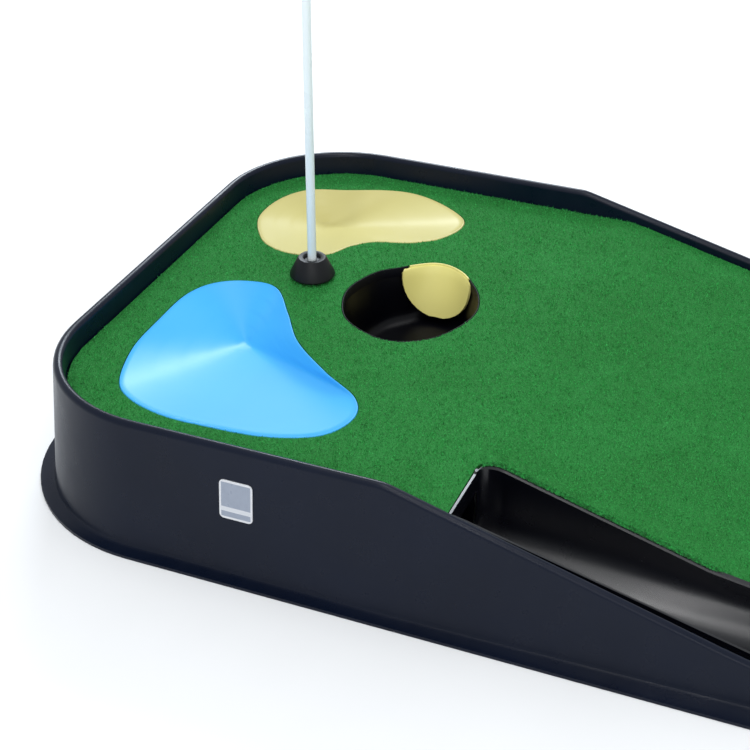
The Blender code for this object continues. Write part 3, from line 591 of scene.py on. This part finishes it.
def make_basin(name, outline, deep, look):
    """Moulded bowl whose mouth comes up to the pile and whose sides run to its deep point."""
    loop = smooth_loop(outline, LOOP_STEPS)
    foot = Vector(deep[:2])
    rings = []
    for turn in (90, 60, 30, 0):
        out = -MOUTH_INSET - MOUTH_ROUND * (1 - math.cos(math.radians(90 - turn)))
        drop = MOUTH_ROUND * (1 - math.sin(math.radians(turn)))
        rings.append([at(p.x, p.y, MOUTH_TOP - drop) for p in grown(loop, out)])
    top = MOUTH_TOP - MOUTH_ROUND
    rim = grown(loop, -MOUTH_INSET - MOUTH_ROUND)
    for share in np.linspace(0.0, 0.95, BOWL_RINGS)[1:]:
        depth = (top - deep[2]) * (1 - (1 - share) ** BOWL_CURVE)
        soft = softened(rim, int(share * BOWL_SOFT))
        rings.append([at(p.x + (foot.x - p.x) * share, p.y + (foot.y - p.y) * share, top - depth)
                      for p in soft])
    size = len(loop)
    points = [p for ring in rings for p in ring]
    faces = grid_faces(len(rings), size, True)
    last = (len(rings) - 1) * size
    points.append(sum((Vector(p) for p in rings[-1]), Vector()) / size)
    faces += [(last + i, last + (i + 1) % size, len(points) - 1) for i in range(size)]
    made = add_mesh(name, points, faces, look)
    if sum(face.normal.z * face.area for face in made.data.polygons) < 0:
        made.data.flip_normals()
    thicken(made, "sheet", INSERT_T - 0.0002, -1.0)
    return made


def make_lip(name, outline, look):
    """Flat lip that holds a bowl under the turf."""
    loop = smooth_loop(outline, LOOP_STEPS)
    inner, outer = grown(loop, LIP_EDGE), grown(loop, LIP)
    levels = [(outer, INSERT_TOP - LIP_EDGE), (grown(loop, LIP - LIP_EDGE), INSERT_TOP),
              (inner, INSERT_TOP), (inner, INSERT_TOP - INSERT_T), (outer, INSERT_TOP - INSERT_T)]
    rings = [[at(p.x, p.y, z) for p in ring] for ring, z in levels + levels[:1]]
    size = len(loop)
    points = [p for ring in rings[:-1] for p in ring]
    faces = [tuple(i % (size * len(levels)) for i in face)
             for face in grid_faces(len(rings), size, True)]
    made = add_mesh(name, points, faces, look, smooth=False)
    face_outward(made)
    return made


def make_collar(name, keep, look):
    """Thin upstand inside the cup's edge, along the part of the edge that `keep` picks."""
    loop = smooth_loop(CUP_OUTLINE, LOOP_STEPS)
    section = [(0.0, COLLAR_LOW), (0.0, COLLAR_TOP - 0.0006), (-0.0003, COLLAR_TOP - 0.0002),
               (-0.0007, COLLAR_TOP), (-0.0011, COLLAR_TOP - 0.0002),
               (-0.0014, COLLAR_TOP - 0.0006), (-0.0014, COLLAR_LOW)]
    columns = [grown(loop, -0.0002 + out) for out, _ in section]
    picked = [i for i in range(len(loop)) if keep(loop[i])]
    start = next((k for k in range(len(picked))
                  if (picked[k] - picked[k - 1]) % len(loop) != 1), 0)
    picked = picked[start:] + picked[:start]
    points = [at(columns[k][i].x, columns[k][i].y, section[k][1])
              for i in picked for k in range(len(section))]
    size = len(section)
    faces = grid_faces(len(picked), size, True)
    faces += [tuple(range(size))[::-1],
              tuple(range((len(picked) - 1) * size, len(picked) * size))]
    made = add_mesh(name, points, faces, look)
    face_outward(made)
    split_edges(made, 60)
    return made


def at_scoop(p):
    """Whether a point of the cup's edge lies along the scoop."""
    return p.x > SCOOP_CENTRE[0] - 0.004 and abs(p.y - SCOOP_CENTRE[1]) < SCOOP_HALF - 0.001


# ---------------------------------------------------------------- pennant and badge
def make_pennant(look):
    """Woven pennant, tapering out from its hoist, its cloth in soft folds."""
    low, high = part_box("flag_pennant")
    hoist = low.x + 0.0002
    reach = high.x - hoist
    middle = (low.z + high.z) / 2
    tall = (high.z - low.z) / 2
    rows = []
    across, up = 48, 20
    for i in range(across + 1):
        share = i / across
        half = tall * (1 - PENNANT_TAPER * share)
        row = []
        for j in range(up + 1):
            level = -1 + 2 * j / up
            sway = 0.0045 * math.sin(share * math.pi * 1.6) * share
            fold = 0.0007 * math.sin(share * 15 + level * 1.3) * share
            row.append(Vector((hoist + reach * share, FLAG_Y + sway + fold,
                               middle + half * level - 0.002 * share * share)))
        rows.append(row)
    points = [p for row in rows for p in row]
    made = add_mesh("pennant_cloth", points, grid_faces(len(rows), up + 1, False), look)
    thicken(made, "cloth", 0.0005, 0.0)
    return made


def label_look(name, field, border, band):
    """Plain printed label: pale field, a border and one band, told apart by place alone."""
    made, tree, shader = new_material(name)
    low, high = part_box("badge")
    where = node(tree, "ShaderNodeTexCoord")
    split = node(tree, "ShaderNodeSeparateXYZ")
    tree.links.new(where.outputs["Object"], split.inputs["Vector"])

    def within(axis, centre, reach):
        made = node(tree, "ShaderNodeMath", operation="COMPARE")
        made.inputs[1].default_value = centre
        made.inputs[2].default_value = reach
        tree.links.new(split.outputs[axis], made.inputs[0])
        return made.outputs["Value"]

    def blend_in(fac, under, over):
        mix = node(tree, "ShaderNodeMix", data_type="RGBA")
        tree.links.new(fac, mix.inputs["Factor"])
        tree.links.new(under, mix.inputs["A"])
        if isinstance(over, tuple):
            mix.inputs["B"].default_value = (*over, 1.0)
        else:
            tree.links.new(over, mix.inputs["B"])
        return mix.outputs["Result"]

    centre = (low + high) / 2
    both = node(tree, "ShaderNodeMath", operation="MULTIPLY")
    tree.links.new(within("Y", centre.y, (high.y - low.y) / 2 - 0.0013), both.inputs[0])
    tree.links.new(within("Z", centre.z, (high.z - low.z) / 2 - 0.0015), both.inputs[1])
    print_tint = ramp(tree, noise(tree, 300.0, 3.0), [(0.3, scaled(field, 0.94)), (0.7, field)])
    edge_tint = ramp(tree, noise(tree, 300.0, 3.0), [(0.3, scaled(border, 0.94)), (0.7, border)])
    inner = blend_in(within("Z", centre.z - 0.0070, 0.0016), print_tint, band)
    whole = blend_in(both.outputs["Value"], edge_tint, inner)
    tree.links.new(whole, shader.inputs["Base Color"])
    tree.links.new(spread_value(tree, noise(tree, 90.0, 3.0), 0.26, 0.36),
                   shader.inputs["Roughness"])
    bump(tree, shader, (noise(tree, 900.0, 2.0), 0.05, 0.0001))
    return made


# ---------------------------------------------------------------- looks
# Name: colour, roughness, tint spread, specular level, grain, wave, roughness spread.
PLASTICS = {
    "satin_black": ((0.0014, 0.0044, 0.0150), 0.30, 0.15, 0.22, (1700.0, 0.16), (10.0, 0.04), 0.05),
    "well_black": ((0.0006, 0.0007, 0.0020), 0.32, 0.15, 0.16, (900.0, 0.03), (16.0, 0.05), 0.04),
    "gloss_black": ((0.0010, 0.0013, 0.0035), 0.27, 0.15, 0.60, (900.0, 0.01), (16.0, 0.03), 0.006),
    "edge_black": ((0.0010, 0.0013, 0.0035), 0.50, 0.15, 0.12, (900.0, 0.10), (16.0, 0.05), 0.04),
    "water_blue": ((0.060, 0.440, 0.900), 0.32, 0.02, 0.22, (1200.0, 0.02), (20.0, 0.04), 0.008),
    "sand_yellow": ((0.600, 0.545, 0.220), 0.32, 0.02, 0.22, (1200.0, 0.02), (20.0, 0.04), 0.008),
    "scoop_yellow": ((0.860, 0.780, 0.260), 0.34, 0.05, 0.3, (1200.0, 0.03), (30.0, 0.06), 0.04),
    "coupler_black": ((0.009, 0.010, 0.012), 0.50, 0.15, 0.4, (1500.0, 0.25), (12.0, 0.05), 0.05),
    "base_rubber": ((0.0060, 0.0066, 0.0080), 0.46, 0.20, 0.25, (1300.0, 0.30), (40.0, 0.15), 0.06),
    "stick_white": ((0.900, 0.965, 0.970), 0.30, 0.03, 0.5, (900.0, 0.03), (12.0, 0.04), 0.05),
    "rivet_grey": ((0.250, 0.260, 0.280), 0.40, 0.15, 0.5, (1500.0, 0.10), (30.0, 0.10), 0.08),
}
LOOKS = {name: plastic(name, *values) for name, values in PLASTICS.items()}
label = label_look("label_grey", (0.300, 0.340, 0.420), (0.700, 0.710, 0.740),
                   (0.620, 0.640, 0.680))
red = turf_look("pennant_red", (0.420, 0.012, 0.012), (0.600, 0.020, 0.020),
                (0.700, 0.045, 0.040), 0.3)
turf_base = turf_look("turf_base", (0.010, 0.120, 0.020), (0.020, 0.200, 0.036),
                      (0.036, 0.280, 0.058), 0.0)
turf_blade = blade_look("turf_blade", (0.008, 0.150, 0.022), (0.028, 0.380, 0.072),
                        (0.078, 0.700, 0.160))
backing_grey = turf_look("grip_foam", (0.010, 0.010, 0.011), (0.018, 0.018, 0.020),
                         (0.030, 0.030, 0.033), 0.0)

# ---------------------------------------------------------------- CAD nodes that stay
FINISHES = {
    "satin_black": ["base_tray"],
    "well_black": ["cup_well"],
    "gloss_black": ["return_chute", "ramp_trough", "track_section_1", "track_section_2",
                    "track_section_3"],
    "coupler_black": ["track_coupler_1", "track_coupler_2", "track_coupler_3",
                      "track_end_stop"],
    "scoop_yellow": ["cup_scoop"],
    "base_rubber": ["flag_base"],
    "stick_white": ["flagstick", "flag_sleeve", "flag_cap"],
    "rivet_grey": [f"chute_rivet_{number}" for number in (1, 2, 3, 4)],
}
for finish, names in FINISHES.items():
    for name in names:
        repaint(name, LOOKS[finish])
repaint("badge", label)

# ---------------------------------------------------------------- new pieces
HAZARDS = [("water", WATER_OUTLINE, WATER_DEEP, "water_blue"),
           ("bunker", BUNKER_OUTLINE, BUNKER_DEEP, "sand_yellow")]
for hazard, outline, deep, slot in HAZARDS:
    bowl = make_basin(hazard + "_bowl", outline, deep, LOOKS[slot])
    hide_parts(hazard + "_basin")
    for piece in (bowl, make_lip(hazard + "_lip", outline, LOOKS[slot])):
        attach(piece, "mat")

cup_edge = make_collar("cup_edge", lambda p: not at_scoop(p), LOOKS["edge_black"])
scoop_edge = make_collar("scoop_edge", at_scoop, LOOKS["scoop_yellow"])
for piece, slot in ((cup_edge, "gloss_black"), (scoop_edge, "sand_yellow")):
    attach(piece, "mat")

sheet = make_turf_sheet(turf_base)
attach(sheet, "mat")
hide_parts("turf")
tray_spots = scatter(210000, 0.0, PILE_SPLIT)
pile_tray = blades("turf_pile_tray", tray_spots, turf_blade, 0.0021, 0.00055, 0.0013)
runner_spots = scatter(190000, PILE_SPLIT, PLAYER_END)
pile_runner = blades("turf_pile_runner", runner_spots, turf_blade, 0.0021, 0.0009, 0.0014)
rim_spots, leans = edge_spots(14)
pile_edge = blades("turf_pile_edge", rim_spots, turf_blade, 0.0026, 0.0005, 0.0012,
                   push=leans, sink=0.002)
pile_fold = blades("turf_pile_fold", fold_spots(9000), turf_blade, 0.0018, 0.0006, 0.0014,
                   lift=0.0010)
for pile in (pile_tray, pile_runner, pile_edge, pile_fold):
    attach(pile, "mat")
grip = make_backing(backing_grey)
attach(grip, "mat")
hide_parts("runner_backing")

cloth = make_pennant(red)
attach(cloth, "pennant")
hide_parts("flag_pennant")

# ---------------------------------------------------------------- floor, lights and camera
floor_look = plastic("floor_white", (0.93, 0.935, 0.94), 0.8, 0.01, 0.1, (50.0, 0.02),
                     (4.0, 0.01), 0.02)
floor = add_mesh("studio_floor", [(-9, -9, 0), (9, -9, 0), (9, 9, 0), (-9, 9, 0)],
                 [(0, 1, 2, 3)], floor_look)
floor.location.z = -0.0002

world = bpy.data.worlds.new("studio")
bpy.context.scene.world = world
world.use_nodes = True
background = world.node_tree.nodes["Background"]
background.inputs["Color"].default_value = (0.92, 0.96, 1.0, 1.0)
background.inputs["Strength"].default_value = 0.74


def aimed(name, data, place, direction):
    """Camera or light at a place, looking in a direction."""
    made = linked(name, data)
    made.location = place
    made.rotation_mode = "QUATERNION"
    made.rotation_quaternion = direction.to_track_quat("-Z", "Y")
    return made


def softbox(name, place, target, width, height, power, colour=(1.0, 1.0, 1.0)):
    """Area light of a power in watts, aimed at a target."""
    light = bpy.data.lights.new(name, "AREA")
    light.shape = "RECTANGLE"
    light.size = width
    light.size_y = height
    light.energy = power
    light.color = colour
    aimed(name, light, place, Vector(target) - Vector(place))


MIDDLE = (0.0, 1.05, 0.05)
softbox("overhead", (0.0, 1.10, 2.2), MIDDLE, 1.2, 1.2, 7.5)
softbox("far_side", (1.7, 1.75, 1.15), MIDDLE, 0.8, 0.5, 22.0, (0.84, 0.92, 1.0))
softbox("near_strip", (-0.9, 1.0, 1.6), MIDDLE, 0.08, 2.2, 9.0)
softbox("front", (-1.7, 0.2, 0.9), MIDDLE, 0.7, 0.7, 4.0)

camera_data = bpy.data.cameras.new("camera")
camera_data.lens = 79.2
camera_data.sensor_width = 36.0
camera_data.clip_start = 0.05
camera_data.clip_end = 50.0
camera = aimed("camera", camera_data, (-0.953, 0.762, 0.676), Vector((0.7810, 0.3221, -0.5351)))
bpy.context.scene.camera = camera
bpy.context.scene.view_settings.view_transform = "Standard"
